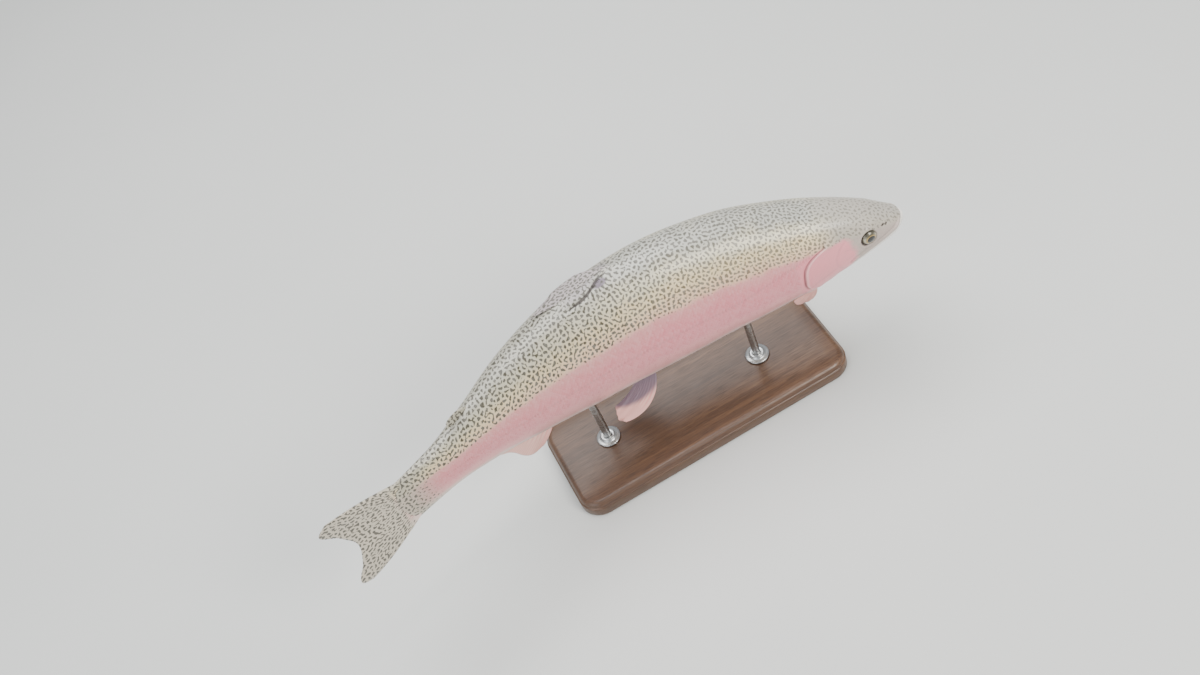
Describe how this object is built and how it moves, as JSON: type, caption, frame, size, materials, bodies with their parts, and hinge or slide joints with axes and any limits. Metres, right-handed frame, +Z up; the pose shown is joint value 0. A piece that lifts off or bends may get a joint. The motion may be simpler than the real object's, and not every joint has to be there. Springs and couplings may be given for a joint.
{
  "type": "rainbow trout",
  "caption": "Life-size museum model of an adult rainbow trout swimming with a gentle turn to its right, held on a plain flat base by short rods.",
  "frame": {"origin": "centre of the underside of the stand's base", "axes": "+X towards the snout along the line from tail root to snout, +Y towards the fish's left, +Z up"},
  "size_m": [0.5894, 0.1239, 0.2281],
  "materials": {
    "skin": "moist scaled skin: spotted grey-olive back, pink band along the side, pale belly",
    "eye": "polished eye with a dark pupil and a brassy iris",
    "stand_wood": "satin varnish",
    "stand_metal": "brushed"
  },
  "bodies": {
    "root": {"head": "skin", "lower_jaw": "skin", "jaw_bone_left": "skin", "jaw_bone_right": "skin", "gill_cover_left": "skin", "gill_cover_right": "skin", "trunk_front": "skin", "trunk_middle": "skin", "trunk_rear": "skin", "tail_stalk": "skin", "dorsal_fin": "skin", "adipose_fin": "skin", "anal_fin": "skin", "tail_fin": "skin", "pectoral_fin_left": "skin", "pectoral_fin_right": "skin", "pelvic_fin_left": "skin", "pelvic_fin_right": "skin", "eye_left": "eye", "eye_right": "eye", "stand_base": "stand_wood", "stand_rod_front": "stand_metal", "stand_rod_rear": "stand_metal", "stand_collar_front": "stand_metal", "stand_collar_rear": "stand_metal"}
  },
  "joints": []
}
